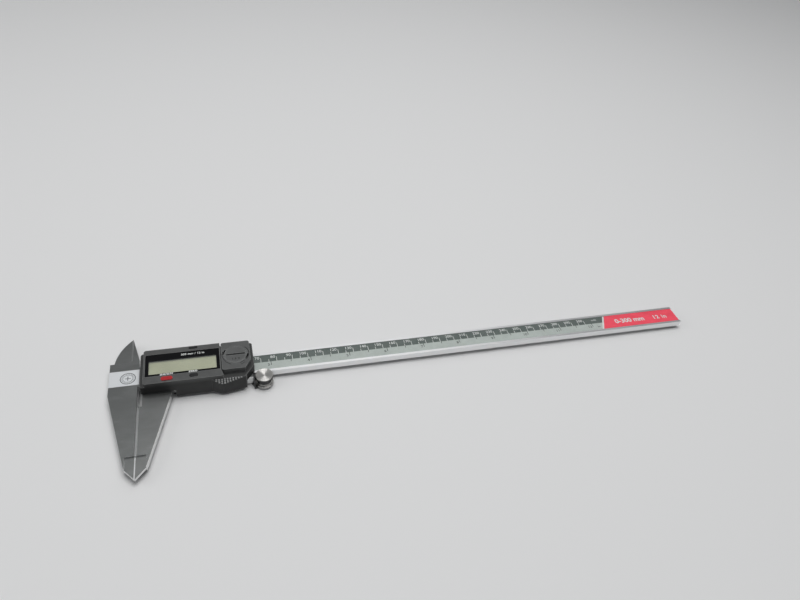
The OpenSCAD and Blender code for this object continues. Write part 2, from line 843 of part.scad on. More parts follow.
// Spool with two flanges that straddle the beam's lower edge, closed at the front
module thumb_roller() {
    bore_r = axle_r + pin_gap;
    snap_z = axle_top - 0.7;
    dish = 0.5;
    color("gainsboro") translate([roller_x, roller_y, 0]) rotate_extrude($fn = 128) polygon([
        [bore_r, roller_z[0]], [roller_flange_r - 0.2, roller_z[0]],
        [roller_flange_r, roller_z[0] + 0.2], [roller_flange_r, roller_groove_z[0] - 0.15],
        [roller_flange_r - 0.15, roller_groove_z[0]], [groove_r, roller_groove_z[0]],
        [groove_r, roller_groove_z[1]], [roller_flange_r - 0.15, roller_groove_z[1]],
        [roller_flange_r, roller_groove_z[1] + 0.15], [roller_flange_r, roller_z[1] - 0.3],
        [roller_flange_r - 0.3, roller_z[1]], [roller_flange_r - 0.8, roller_z[1]],
        [0, roller_z[1] - dish], [0, axle_top + 0.1], [axle_head_r + pin_gap, axle_top + 0.1],
        [axle_head_r + pin_gap, snap_z], [bore_r, snap_z]
    ]);
}

// Moves a sub-part from the design frame into the part's own frame
module placed() {
    translate(part_shift) children();
}

placed() beam();
placed() scale_circuit();
placed() scale_label();
placed() end_label();
placed() head_label();
placed() stop_plate();
placed() stop_screws();
placed() slider_frame();
placed() gib_strip();
placed() gib_screws();
placed() lock_screw();
placed() depth_rod();
placed() rod_screws();
placed() rear_cover();
placed() cover_screws();
placed() circuit_board();
placed() processor();
placed() switch_domes();
placed() lcd_holder();
placed() lcd_connector();
placed() lcd_glass();
placed() display_window();
placed() front_housing();
placed() battery_block();
placed() negative_contact();
placed() positive_contact();
placed() button_cell();
placed() battery_cap();
placed() cap_seal();
placed() power_button();
placed() zero_button();
placed() unit_button();
placed() roller_bracket();
placed() bracket_screws();
placed() roller_axle();
placed() thumb_roller();
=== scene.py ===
"""Digital caliper: finishes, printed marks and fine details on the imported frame.

Lengths below are millimetres in the caliper's own frame: X along the beam from the closed jaw
faces, Y from the middle of the beam towards the inside jaws, Z out of the beam's front face.
at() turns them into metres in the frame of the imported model.
"""

import json
import math

import bmesh
import bpy
from mathutils import Matrix, Vector


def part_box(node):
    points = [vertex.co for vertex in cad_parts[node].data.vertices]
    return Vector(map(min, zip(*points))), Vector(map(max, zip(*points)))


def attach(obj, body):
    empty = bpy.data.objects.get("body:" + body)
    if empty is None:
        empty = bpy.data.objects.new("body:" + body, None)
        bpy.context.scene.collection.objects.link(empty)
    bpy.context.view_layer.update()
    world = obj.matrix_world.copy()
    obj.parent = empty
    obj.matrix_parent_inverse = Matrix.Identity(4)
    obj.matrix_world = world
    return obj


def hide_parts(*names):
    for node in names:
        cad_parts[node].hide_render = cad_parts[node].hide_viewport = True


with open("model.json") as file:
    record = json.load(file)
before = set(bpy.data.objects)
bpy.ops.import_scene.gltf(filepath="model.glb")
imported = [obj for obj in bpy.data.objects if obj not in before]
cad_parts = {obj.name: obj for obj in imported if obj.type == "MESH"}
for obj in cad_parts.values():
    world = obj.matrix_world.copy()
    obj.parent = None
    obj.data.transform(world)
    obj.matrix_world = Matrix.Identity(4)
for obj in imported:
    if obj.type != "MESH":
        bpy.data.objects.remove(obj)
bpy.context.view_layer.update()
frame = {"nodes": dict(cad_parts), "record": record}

MM = 0.001

NODES = frame["nodes"]
HEAD_LOW, HEAD_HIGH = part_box("head_label")
# the head label ends at the jaw faces and is centred on the beam
ORIGIN = Vector((HEAD_HIGH.x, (HEAD_LOW.y + HEAD_HIGH.y) / 2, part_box("beam")[1].z))


def at(x, y, z=0.0):
    """A point of the caliper's own frame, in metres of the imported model's frame."""
    return ORIGIN + Vector((x, y, z)) * MM


def local_box(node):
    """Lowest and highest corner of a CAD node in the caliper's own frame, in millimetres."""
    low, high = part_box(node)
    return (low - ORIGIN) / MM, (high - ORIGIN) / MM


def middle(node):
    """The middle of a CAD node's box in the caliper's own frame, in millimetres."""
    low, high = local_box(node)
    return (low + high) / 2


def on_face(z, sunk=0.01):
    """Heights of a thin printed mark: from just under a face to 0.02 mm above it."""
    return z - sunk, z + 0.02


# ---------------------------------------------------------------- materials


class Paint:
    """A Principled material and the nodes that feed it."""

    def __init__(self, name, colour, roughness, metallic=0.0, **fixed):
        self.mat = bpy.data.materials.new(name)
        self.mat.use_nodes = True
        self.tree = self.mat.node_tree
        self.bsdf = self.tree.nodes["Principled BSDF"]
        self.set("Base Color", (*colour, 1))
        self.set("Roughness", roughness)
        self.set("Metallic", metallic)
        for key, value in fixed.items():
            self.set(key.replace("_", " "), value)
        self.place = self.node("TexCoord").outputs["Object"]
        self.parts = None

    def set(self, key, value):
        socket = self.bsdf.inputs[key]
        if isinstance(value, bpy.types.NodeSocket):
            self.tree.links.new(value, socket)
        else:
            socket.default_value = value

    def node(self, kind, inputs=(), **settings):
        made = self.tree.nodes.new("ShaderNode" + kind)
        for key, value in settings.items():
            setattr(made, key, value)
        for key, value in dict(inputs).items():
            if isinstance(value, bpy.types.NodeSocket):
                self.tree.links.new(value, made.inputs[key])
            else:
                made.inputs[key].default_value = value
        return made

    def axis(self, which):
        """One object coordinate, in metres."""
        if self.parts is None:
            self.parts = self.node("SeparateXYZ", {0: self.place})
        return self.parts.outputs[which]

    def math(self, operation, a, b=0.0):
        return self.node("Math", {0: a, 1: b}, operation=operation).outputs[0]

    def noise(self, size, detail=4.0, roughness=0.55, shift=0.0):
        """Noise whose features are about size millimetres along X, Y and Z."""
        sizes = size if isinstance(size, tuple) else (size,) * 3
        moved = self.node("Mapping", {
            "Vector": self.place, "Scale": [1 / (s * MM) for s in sizes], "Location": (shift, shift, shift),
        })
        return self.node("TexNoise", {
            "Vector": moved.outputs[0], "Scale": 1.0, "Detail": detail, "Roughness": roughness,
        }).outputs[0]

    def remap(self, value, low, high, out_low, out_high):
        return self.node("MapRange", {
            "Value": value, "From Min": low, "From Max": high, "To Min": out_low, "To Max": out_high,
        }).outputs[0]

    def mix(self, factor, a, b):
        """Colour a where factor is 0 and colour b where it is 1."""
        def colour(v):
            return (*v, 1) if isinstance(v, tuple) and len(v) == 3 else v
        return self.node("Mix", {0: factor, 6: colour(a), 7: colour(b)}, data_type="RGBA").outputs[2]

    def above(self, which, edge, soft=0.02):
        """1 where an object coordinate is above a plane, with a narrow soft edge."""
        level = at(edge, edge, edge)[which]
        return self.remap(self.axis(which), level - soft * MM, level + soft * MM, 0, 1)

    def bump(self, height, distance, strength):
        """distance is the height of the relief in millimetres."""
        made = self.node("Bump", {"Height": height, "Distance": distance * MM, "Strength": strength})
        self.set("Normal", made.outputs[0])

    def steepness(self):
        """1 on level faces and 0 on upright ones."""
        facing = self.node("SeparateXYZ", {0: self.node("TexCoord").outputs["Normal"]}).outputs[2]
        return self.math("ABSOLUTE", facing)


def scaled(colour, factor, lift=0.0):
    """A colour made darker or lighter, never past white."""
    return tuple(min(1, factor * c + lift) for c in colour)


def edge_wear(paint, colour, edge_colour, amount, reach=0.22, evenness=0.2):
    """Lightens the edges a little and unevenly where a rounded normal leaves the true one: worn edges on
    steel, and a painted highlight along the edges of plastics.

    reach is in millimetres; evenness is the least share of the lightening that is left anywhere.
    """
    rounded_normal = paint.node("Bevel", {"Radius": reach * MM}, samples=4).outputs[0]
    true_normal = paint.node("NewGeometry").outputs["True Normal"]
    facing = paint.node("VectorMath", {0: rounded_normal, 1: true_normal}, operation="DOT_PRODUCT")
    sharp = paint.remap(facing.outputs["Value"], 0.99, 0.84, 0, amount)
    patchy = paint.math("MULTIPLY", sharp, paint.remap(paint.noise(2.2, shift=5), 0.35, 0.65, evenness, 1))
    return paint.mix(patchy, colour, edge_colour)


def ground_steel(name, colour, roughness, grain, extra=None):
    """Satin ground steel: long fine scratches, cloudy patches and a fine mottling of the roughness."""
    p = Paint(name, colour, roughness, 1.0)
    scratch = p.noise(grain, 5, 0.6)
    cloud = p.noise((22, 12, 12), 3, 0.5, shift=3)
    fine = p.noise(1.1, 5, 0.6, shift=9)
    dark = scaled(colour, 0.90)
    light = scaled(colour, 1.06)
    base = p.mix(p.remap(scratch, 0.3, 0.7, 0, 1), dark, light)
    base = p.mix(p.remap(cloud, 0.45, 0.7, 0, 0.8), base, scaled(colour, 0.78))
    base = p.mix(p.remap(cloud, 0.5, 0.3, 0, 0.8), base, scaled(colour, 1.2))
    if extra:
        base = extra(p, base)
    base = edge_wear(p, base, (0.86, 0.87, 0.88), 0.7)
    p.set("Base Color", base)
    rough = p.math("ADD", p.remap(scratch, 0.25, 0.75, roughness - 0.06, roughness + 0.06),
                   p.remap(cloud, 0.3, 0.7, -0.02, 0.03))
    p.set("Roughness", p.math("ADD", rough, p.remap(fine, 0.4, 0.7, 0, 0.03)))
    p.bump(scratch, 0.004, 0.5)
    return p.mat


def plastic(name, colour, roughness, texture=0.22, relief=0.015, shade_heights=None, reach=0.3, **fixed):
    """Moulded plastic with a fine eroded texture, faint mottling, dust and edges lightened as a painted
    highlight.

    The optional pair of heights darkens the colour as painted shade: darkest at the lower height and below
    it, plain from the upper height up.
    """
    p = Paint(name, colour, roughness, **fixed)
    grain = p.noise(texture, 3, 0.6)
    cloud = p.noise(7, 4, 0.6, shift=2)
    base = p.mix(p.remap(cloud, 0.3, 0.7, 0, 1), scaled(colour, 0.86), scaled(colour, 1.16))
    base = p.mix(p.remap(grain, 0.55, 0.75, 0, 0.35), base, scaled(colour, 1.5, 0.01))
    # painted shade: the colour grows darker towards the bottom
    if shade_heights:
        low, high = (at(0, 0, z)[2] for z in shade_heights)
        base = p.mix(p.remap(p.axis(2), low, high, 0, 1), scaled(colour, 0.22), base)
    # painted highlight along the rounded edges, patchy like wear
    base = edge_wear(p, base, scaled(colour, 2.4, 0.05), 1.0, reach, 0.6)
    p.set("Base Color", base)
    p.set("Roughness", p.math("ADD", p.remap(cloud, 0.3, 0.7, roughness - 0.05, roughness + 0.07),
                              p.remap(grain, 0.3, 0.7, -0.03, 0.05)))
    p.bump(grain, relief, 0.6)
    return p.mat


def gloss(name, colour, roughness, **fixed):
    """Polished plastic or glass with faint smears and fine hairline scratches."""
    p = Paint(name, colour, roughness, **fixed)
    smear = p.noise((9, 4, 4), 5, 0.6)
    hair = p.noise((0.05, 3.5, 3.5), 2, 0.5, shift=4)
    p.set("Base Color", p.mix(p.remap(smear, 0.3, 0.7, 0, 1), scaled(colour, 0.9),
                              scaled(colour, 1.1, 0.001)))
    p.set("Roughness", p.math("ADD", p.remap(smear, 0.35, 0.7, roughness, roughness + 0.08),
                              p.remap(hair, 0.6, 0.75, 0, 0.12)))
    p.bump(hair, 0.001, 0.15)
    return p.mat


def printed(name, colour, roughness=0.45, **fixed):
    """Opaque ink, slightly uneven in density."""
    p = Paint(name, colour, roughness, **fixed)
    speck = p.noise(0.12, 3, 0.6)
    p.set("Base Color", p.mix(p.remap(speck, 0.35, 0.7, 0, 0.5), colour, scaled(colour, 0.72)))
    p.set("Roughness", p.remap(speck, 0.3, 0.7, roughness - 0.05, roughness + 0.1))
    p.bump(speck, 0.002, 0.3)
    return p.mat


def turned_steel(name, colour, centre, roughness, anisotropy):
    """Bright turned steel: rings left by the tool round an axis along Z, with its upright sides painted near
    black as a painted dark reflection.
    """
    p = Paint(name, colour, roughness, 1.0, Anisotropic=anisotropy, Anisotropic_Rotation=0.25)
    p.set("Tangent", p.node("Tangent", direction_type="RADIAL", axis="Z").outputs[0])
    away = p.node("VectorMath", {0: p.place, 1: (centre.x, centre.y, 0)}, operation="SUBTRACT").outputs[0]
    flat = p.node("VectorMath", {0: away, 1: (1, 1, 0)}, operation="MULTIPLY").outputs[0]
    radius = p.node("VectorMath", {0: flat}, operation="LENGTH").outputs["Value"]
    turns = p.math("MULTIPLY", radius, 1 / (0.09 * MM))
    rings = p.node("TexNoise", {"W": turns, "Scale": 1.0, "Detail": 3.0}, noise_dimensions="1D").outputs[0]
    smear = p.noise(2.5, 4, 0.6)
    base = p.mix(p.remap(rings, 0.3, 0.7, 0, 1), scaled(colour, 0.86),
                 scaled(colour, 1.08))
    # painted reflection: upright faces above Z = -3 mm are painted near black for dark surroundings mirrored
    # in the groove
    dark_side_reflection = p.remap(p.steepness(), 0.25, 0.5, 1, 0)
    dark_side_reflection = p.math("MULTIPLY", dark_side_reflection, p.above(2, -3, 0.3))
    p.set("Base Color", p.mix(dark_side_reflection, base, (0.10, 0.10, 0.10)))
    p.set("Roughness", p.math("ADD", p.remap(rings, 0.3, 0.7, roughness - 0.04, roughness + 0.06),
                              p.remap(smear, 0.4, 0.7, 0, 0.08)))
    p.bump(rings, 0.006, 0.35)
    return p.mat


def lapped_jaws(p, base):
    """Upright faces, the ground side walls and the bevels beside the measuring faces, are made brighter as a
    painted highlight.
    """
    side_highlight = p.remap(p.steepness(), 0.85, 0.3, 0, 0.85)
    return p.mix(side_highlight, base, (0.88, 0.885, 0.88))


def beam_lands(p, base):
    """Bright lapped lands beside the scale strip, and a painted highlight along the fixed jaw's face."""
    bright_steel = (0.86, 0.865, 0.87)
    jaw_edge_highlight = p.math("MULTIPLY", p.above(0, -0.6, 0.05), p.remap(p.above(1, -8.6), 0, 1, 0.8, 0))
    base = p.mix(jaw_edge_highlight, lapped_jaws(p, base), bright_steel)
    return p.mix(p.above(0, 1.5, 0.6), base, bright_steel)


STRIPE_EDGE = 0.15   # Y of the line between the scale strip's two stripes


def two_tone_scale():
    """Dark grey-green upper stripe and pale lower stripe of the scale strip."""
    dark, pale = (0.088, 0.108, 0.100), (0.50, 0.55, 0.52)
    p = Paint("scale_print", pale, 0.5, Specular_IOR_Level=0.25)
    speck = p.noise((1.2, 0.3, 0.3), 4, 0.6)
    cloud = p.noise(11, 4, 0.6, shift=2)
    upper = p.mix(p.remap(speck, 0.3, 0.7, 0, 1), dark, scaled(dark, 1.5))
    lower = p.mix(p.remap(speck, 0.3, 0.7, 0, 1), scaled(pale, 0.9), scaled(pale, 1.08))
    both = p.mix(p.above(1, STRIPE_EDGE, 0.03), lower, upper)
    p.set("Base Color", p.mix(p.remap(cloud, 0.35, 0.7, 0, 0.25), both, scaled(pale, 0.5)))
    p.set("Roughness", p.remap(speck, 0.3, 0.7, 0.46, 0.6))
    p.bump(speck, 0.003, 0.3)
    return p.mat


def circuit(name, colour, copper):
    """Glass-fibre laminate with rows of copper lands under the lacquer."""
    p = Paint(name, colour, 0.35, Coat_Weight=0.3, Coat_Roughness=0.15)
    weave = p.noise(0.35, 2, 0.5)
    tile = p.node("TexBrick", {
        "Vector": p.node("Mapping", {"Vector": p.place, "Scale": (900, 900, 900)}).outputs[0],
        "Scale": 1.0, "Mortar Size": 0.09, "Color1": (*copper, 1), "Color2": (*copper, 1),
        "Mortar": (*colour, 1), "Brick Width": 1.3, "Row Height": 4.2,
    }, offset=0.0)
    base = p.mix(0.35, tile.outputs[0], colour)
    p.set("Base Color", p.mix(p.remap(weave, 0.3, 0.7, 0, 0.5), base, scaled(colour, 1.6)))
    p.set("Roughness", p.remap(weave, 0.3, 0.7, 0.28, 0.45))
    p.bump(weave, 0.004, 0.4)
    return p.mat


def satin_label():
    """Finely brushed aluminium foil."""
    colour = (0.83, 0.85, 0.87)
    p = Paint("satin_label", colour, 0.42, 0.35, Specular_IOR_Level=0.6)
    brush = p.noise((9, 0.06, 0.06), 4, 0.6)
    cloud = p.noise(5, 4, 0.6, shift=2)
    p.set("Base Color", p.mix(p.remap(brush, 0.3, 0.7, 0, 1), scaled(colour, 0.9), colour))
    p.set("Roughness", p.math("ADD", p.remap(brush, 0.3, 0.7, 0.36, 0.46), p.remap(cloud, 0.4, 0.7, 0, 0.06)))
    p.bump(brush, 0.003, 0.4)
    return p.mat


def screen():
    """Reflective liquid crystal cell: grey-olive, with fine grain and faint darker clouds."""
    colour = (0.46, 0.475, 0.31)
    p = Paint("lcd", colour, 0.22, Coat_Weight=0.6, Coat_Roughness=0.08)
    grain = p.noise(0.18, 2, 0.5)
    cloud = p.noise(14, 3, 0.5, shift=2)
    base = p.mix(p.remap(grain, 0.3, 0.7, 0, 1), scaled(colour, 0.95), scaled(colour, 1.05))
    base = p.mix(p.remap(cloud, 0.35, 0.7, 0, 1), base, (0.40, 0.415, 0.265))
    p.set("Base Color", base)
    p.set("Roughness", p.remap(grain, 0.3, 0.7, 0.2, 0.27))
    return p.mat


roller_low, roller_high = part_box("thumb_roller")

MATERIALS = {
    "hardened_steel": ground_steel("hardened_steel", (0.25, 0.258, 0.255), 0.36, grain=(14, 0.10, 0.10),
                                   extra=beam_lands),
    "slider_steel": ground_steel("slider_steel", (0.27, 0.277, 0.274), 0.36, grain=(12, 0.10, 0.10),
                                 extra=lapped_jaws),
    "rod_steel": ground_steel("rod_steel", (0.60, 0.61, 0.62), 0.26, grain=(40, 0.06, 0.06)),
    "roller_steel": turned_steel("roller_steel", (0.60, 0.59, 0.57), (roller_low + roller_high) / 2,
                                 roughness=0.4, anisotropy=0.97),
    "knurled_chrome": ground_steel("knurled_chrome", (0.66, 0.66, 0.67), 0.22, grain=(0.3, 3, 0.3)),
    "bracket_steel": plastic("bracket_steel", (0.028, 0.028, 0.03), 0.38, 0.35, 0.008,
                             Specular_IOR_Level=0.6),
    "screw_steel": ground_steel("screw_steel", (0.48, 0.48, 0.49), 0.3, grain=(0.8, 0.8, 0.8)),
    "gib_brass": ground_steel("gib_brass", (0.70, 0.52, 0.24), 0.3, grain=(18, 0.08, 0.08)),
    "contact_metal": ground_steel("contact_metal", (0.75, 0.70, 0.55), 0.25, grain=(3, 0.1, 0.1)),
    "cell_steel": ground_steel("cell_steel", (0.72, 0.72, 0.73), 0.24, grain=(0.6, 0.6, 0.6)),
    "scale_circuit": circuit("scale_circuit", (0.02, 0.10, 0.055), (0.28, 0.19, 0.07)),
    "board": circuit("board", (0.012, 0.11, 0.045), (0.22, 0.18, 0.06)),
    "scale_print": two_tone_scale(),
    "red_print": gloss("red_print", (0.97, 0.095, 0.14), 0.42, Specular_IOR_Level=0.25),
    "satin_label": satin_label(),
    # the housing is darkened below 8.6 mm as painted shade, darkest from 5 mm down
    "housing_plastic": plastic("housing_plastic", (0.074, 0.076, 0.075), 0.5, shade_heights=(5.0, 8.6), reach=0.6),
    "cover_plastic": plastic("cover_plastic", (0.03, 0.031, 0.032), 0.5, 0.3, 0.02),
    "battery_plastic": plastic("battery_plastic", (0.085, 0.088, 0.087), 0.5, 0.25, reach=0.7),
    "white_plastic": plastic("white_plastic", (0.72, 0.72, 0.69), 0.45, 0.4, 0.006),
    "window_gloss": gloss("window_gloss", (0.005, 0.005, 0.006), 0.05, Specular_IOR_Level=0.22),
    "lcd": screen(),
    "red_button": plastic("red_button", (0.42, 0.011, 0.015), 0.34, 0.3, 0.004),
    "black_button": plastic("black_button", (0.008, 0.008, 0.009), 0.3, 0.3, 0.003),
    "seal_rubber": plastic("seal_rubber", (0.02, 0.02, 0.02), 0.6, 0.3, 0.01),
    "resin": gloss("resin", (0.012, 0.012, 0.012), 0.18),
}
WHITE_INK = printed("white_ink", (0.80, 0.82, 0.80))
BLACK_INK = printed("black_ink", (0.03, 0.033, 0.033))
GREY_INK = printed("grey_ink", (0.10, 0.11, 0.115))
# near-black strips standing for the shade inside moulded grooves: painted shade
GROOVE_SHADE = printed("groove_shade_ink", (0.008, 0.008, 0.008), 0.6)

CAD_SHARP_ANGLE = 32
PIECE_SHARP_ANGLE = 40
SLOT_OF = {row["node"]: row["material_slot"] for row in frame["record"]["subparts"]}


def round_edges(obj, width, angle):
    """A bevel modifier on edges sharper than angle degrees; width is in millimetres."""
    bevel = obj.modifiers.new("bevel", "BEVEL")
    bevel.width = width * MM
    bevel.segments = 2
    bevel.limit_method = "ANGLE"
    bevel.angle_limit = math.radians(angle)
    return bevel


def soften(obj, width):
    """Small real radii on the edges of a CAD node, and smooth shading that keeps flat faces flat."""
    weld = obj.modifiers.new("weld", "WELD")
    weld.merge_threshold = 1e-6
    if width:
        round_edges(obj, width, CAD_SHARP_ANGLE).miter_outer = "MITER_ARC"
    weights = obj.modifiers.new("weights", "WEIGHTED_NORMAL")
    weights.keep_sharp = True
    weights.weight = 100


EDGE_RADII = {
    "beam": 0.12, "slider_frame": 0.12, "front_housing": 0.12, "battery_block": 0.1, "battery_cap": 0.12,
    "rear_cover": 0.25, "power_button": 0.25, "zero_button": 0.25, "unit_button": 0.2, "thumb_roller": 0.12,
    "roller_bracket": 0.1, "stop_plate": 0.12, "lock_screw": 0.15, "depth_rod": 0.1,
}
for node, obj in NODES.items():
    slots = obj.data.materials
    for index in range(len(slots)):
        slots[index] = MATERIALS[SLOT_OF[node]]
    soften(obj, EDGE_RADII.get(node, 0))


# ---------------------------------------------------------------- mesh building


CAPITAL_SHARE = 0.73   # capital height of the built-in font, as a share of its size


class Shape:
    """Collects closed solids in the caliper's own frame, in millimetres, and turns them into a piece."""

    def __init__(self):
        self.bm = bmesh.new()

    def prism(self, outline, low, high):
        """A straight prism over a counter-clockwise outline."""
        base = [self.bm.verts.new(at(x, y, low)) for x, y in outline]
        top = [self.bm.verts.new(at(x, y, high)) for x, y in outline]
        count = len(outline)
        self.bm.faces.new(list(reversed(base)))
        self.bm.faces.new(top)
        for i in range(count):
            j = (i + 1) % count
            self.bm.faces.new((base[i], base[j], top[j], top[i]))

    def block(self, x, y, z):
        """A box between the low and high value of each axis."""
        self.prism([(x[0], y[0]), (x[1], y[0]), (x[1], y[1]), (x[0], y[1])], *z)

    def arc(self, centre, radii, z, start=0.0, sweep=360.0, steps=72):
        """A flat ring, or part of one."""
        whole = sweep >= 360
        count = steps if whole else steps + 1
        loops = []
        for radius, level in ((radii[0], z[0]), (radii[1], z[0]), (radii[1], z[1]), (radii[0], z[1])):
            loops.append([
                self.bm.verts.new(at(
                    centre[0] + radius * math.cos(math.radians(start + sweep * i / steps)),
                    centre[1] + radius * math.sin(math.radians(start + sweep * i / steps)), level))
                for i in range(count)
            ])
        for i in range(steps):
            j = (i + 1) % count
            for a, b in ((0, 1), (1, 2), (2, 3), (3, 0)):
                self.bm.faces.new((loops[a][i], loops[a][j], loops[b][j], loops[b][i]))
        if not whole:
            self.bm.faces.new([loop[0] for loop in loops])
            self.bm.faces.new([loop[-1] for loop in reversed(loops)])

    def stroke(self, start, end, width, z):
        """A straight bar between two points."""
        a, b = Vector(start), Vector(end)
        side_highlight = (b - a).normalized().orthogonal() * (width / 2)
        self.prism([a - side_highlight, b - side_highlight, b + side_highlight, a + side_highlight][::1 if side_highlight.cross(b - a) < 0 else -1], *z)

    def words(self, text, x, y, z, height, align, spacing=1.0, bold=0.0):
        """Plain lettering of a given capital height, standing from z[0] to z[1]."""
        curve = bpy.data.curves.new("lettering", "FONT")
        curve.body = text
        curve.size = height / CAPITAL_SHARE * MM
        curve.align_x = align
        curve.align_y = "CENTER"
        curve.space_character = spacing
        curve.resolution_u = 3
        curve.offset = bold * MM
        curve.extrude = (z[1] - z[0]) / 2 * MM
        holder = bpy.data.objects.new("lettering", curve)
        mesh = bpy.data.meshes.new_from_object(holder)
        mesh.transform(Matrix.Translation(at(x, y, (z[0] + z[1]) / 2)))
        self.bm.from_mesh(mesh)
        bpy.data.objects.remove(holder)
        bpy.data.curves.remove(curve)
        bpy.data.meshes.remove(mesh)

    def piece(self, name, material, body, slot):
        """Ends the shape and makes it a piece that rides a body."""
        mesh = bpy.data.meshes.new(name)
        bmesh.ops.remove_doubles(self.bm, verts=self.bm.verts, dist=1e-7)
        bmesh.ops.recalc_face_normals(self.bm, faces=self.bm.faces)
        self.bm.to_mesh(mesh)
        self.bm.free()
        mesh.materials.append(material)
        obj = bpy.data.objects.new(name, mesh)
        bpy.context.scene.collection.objects.link(obj)
        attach(obj, body)
        return obj


# ---------------------------------------------------------------- printed scale on the beam

strip_high = local_box("scale_label")[1]
red_low = local_box("end_label")[0]
INK = on_face(strip_high.z)
ZERO_X = 3.0          # where the scale starts, past the closed jaw faces
INCH = 25.4
TICK_HALF = 0.16      # half the width of a millimetre tick
INCH_TICK_HALF = 0.17
TICK_ROOM = 0.3       # a tick nearer than this to the strip's end is left out
END_BAR = (1.4, 0.15)   # the pale bar starts and stops this far before the red label
UNIT_X = 313.2        # right edge of the words "mm" and "in"

mm_ticks, mm_figures = Shape(), Shape()
for value in range(0, 301, 5):
    x = ZERO_X + value
    if x + TICK_ROOM > strip_high.x:
        continue
    reach = 3.7 if value % 10 == 0 else 2.0
    mm_ticks.block((x - TICK_HALF, x + TICK_HALF), (STRIPE_EDGE, STRIPE_EDGE + reach), INK)
    if value and value % 10 == 0:
        mm_figures.words(str(value), x - 0.75, 4.0, INK, 2.3, "RIGHT", bold=0.02)
# a pale bar along the slanted line where the red label starts
half_strip = strip_high.y - 0.1
cut_mid = (strip_high.x + red_low.x) / 2
cut_lean = (strip_high.x - red_low.x) / 2 * half_strip / strip_high.y
mm_ticks.prism([
    (cut_mid - cut_lean - END_BAR[0], -half_strip), (cut_mid - cut_lean - END_BAR[1], -half_strip),
    (cut_mid + cut_lean - END_BAR[1], half_strip), (cut_mid + cut_lean - END_BAR[0], half_strip),
], *INK)
mm_figures.words("mm", UNIT_X, 3.6, INK, 1.9, "RIGHT")
mm_ticks.piece("millimetre_ticks", WHITE_INK, "beam", "scale_print")
mm_figures.piece("millimetre_figures", WHITE_INK, "beam", "scale_print")

inch_ticks, inch_figures = Shape(), Shape()
for halves in range(0, 25):
    x = ZERO_X + INCH * halves / 2
    if x + TICK_ROOM > strip_high.x - END_BAR[0] + 0.2:
        continue
    reach = 3.1 if halves % 2 == 0 else 1.9
    inch_ticks.block((x - INCH_TICK_HALF, x + INCH_TICK_HALF), (STRIPE_EDGE - reach, STRIPE_EDGE), INK)
    if halves and halves % 2 == 0:
        inch_figures.words(str(halves // 2), x - 0.85, -2.6, INK, 2.2, "RIGHT", bold=0.02)
inch_figures.words("in", UNIT_X, -3.4, INK, 1.9, "RIGHT")
inch_ticks.piece("inch_ticks", BLACK_INK, "beam", "scale_print")
inch_figures.piece("inch_figures", BLACK_INK, "beam", "scale_print")

range_words = Shape()
range_words.words("0-300 mm", 326.8, -0.4, INK, 4.3, "LEFT", spacing=0.98, bold=0.16)
range_words.words("12 in", 357.9, -0.6, INK, 3.7, "LEFT", spacing=1.15, bold=0.12)
range_words.piece("range_lettering", WHITE_INK, "beam", "red_print")

# ---------------------------------------------------------------- mark on the head

HEAD_INK = on_face(local_box("head_label")[1].z)
MARK_X, MARK_Y = -6.5, -0.4
OUTER_RING, INNER_RING, TICK_RING = (4.1, 4.55), (2.75, 2.95), (3.2, 3.8)
CROSS_ARM, CROSS_WIDTH = 1.7, 0.45

mark = Shape()
mark.arc((MARK_X, MARK_Y), OUTER_RING, HEAD_INK)
mark.arc((MARK_X, MARK_Y), INNER_RING, HEAD_INK)
for turn in range(0, 360, 15):
    a = math.radians(turn)
    inner, outer = ((MARK_X + r * math.cos(a), MARK_Y + r * math.sin(a)) for r in TICK_RING)
    mark.stroke(inner, outer, 0.28, HEAD_INK)
mark.stroke((MARK_X - CROSS_ARM, MARK_Y), (MARK_X + CROSS_ARM, MARK_Y), CROSS_WIDTH, HEAD_INK)
mark.stroke((MARK_X, MARK_Y + 0.2), (MARK_X, MARK_Y + CROSS_ARM), CROSS_WIDTH, HEAD_INK)
mark.stroke((MARK_X, MARK_Y - CROSS_ARM), (MARK_X, MARK_Y - 0.2), CROSS_WIDTH, HEAD_INK)
mark.piece("head_mark", GREY_INK, "beam", "satin_label")

# ---------------------------------------------------------------- display

win_low, win_high = local_box("display_window")
VIEW_X = (6.65, 46.1)   # the clear opening in the black window
VIEW_Y = (-7.7, 3.0)
VIEW_CORNER = 0.25
PANE_GAP = 0.02
CORNER_STEPS = 5


def rounded(x, y, radius):
    """Corners of a rounded rectangle, counter-clockwise."""
    points = []
    for cx, cy, start in ((x[1] - radius, y[1] - radius, 0), (x[0] + radius, y[1] - radius, 90),
                          (x[0] + radius, y[0] + radius, 180), (x[1] - radius, y[0] + radius, 270)):
        for i in range(CORNER_STEPS + 1):
            a = math.radians(start + 90 * i / CORNER_STEPS)
            points.append((cx + radius * math.cos(a), cy + radius * math.sin(a)))
    return points


def frame_plate(name, outer, inner, z, material, body, slot):
    """A plate with an opening of the same number of points."""
    shape = Shape()
    loops = []
    for outline, level in ((outer, z[0]), (outer, z[1]), (inner, z[1]), (inner, z[0])):
        loops.append([shape.bm.verts.new(at(px, py, level)) for px, py in outline])
    count = len(outer)
    for i in range(count):
        j = (i + 1) % count
        for a, b in ((0, 1), (1, 2), (2, 3), (3, 0)):
            shape.bm.faces.new((loops[a][i], loops[a][j], loops[b][j], loops[b][i]))
    return shape.piece(name, material, body, slot)


window = frame_plate(
    "window_frame", rounded((win_low.x, win_high.x), (win_low.y, win_high.y), 0.6),
    rounded(VIEW_X, VIEW_Y, VIEW_CORNER), (win_low.z, win_high.z), MATERIALS["window_gloss"], "slider",
    "window_gloss")
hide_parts("display_window")
round_edges(window, 0.08, PIECE_SHARP_ANGLE)

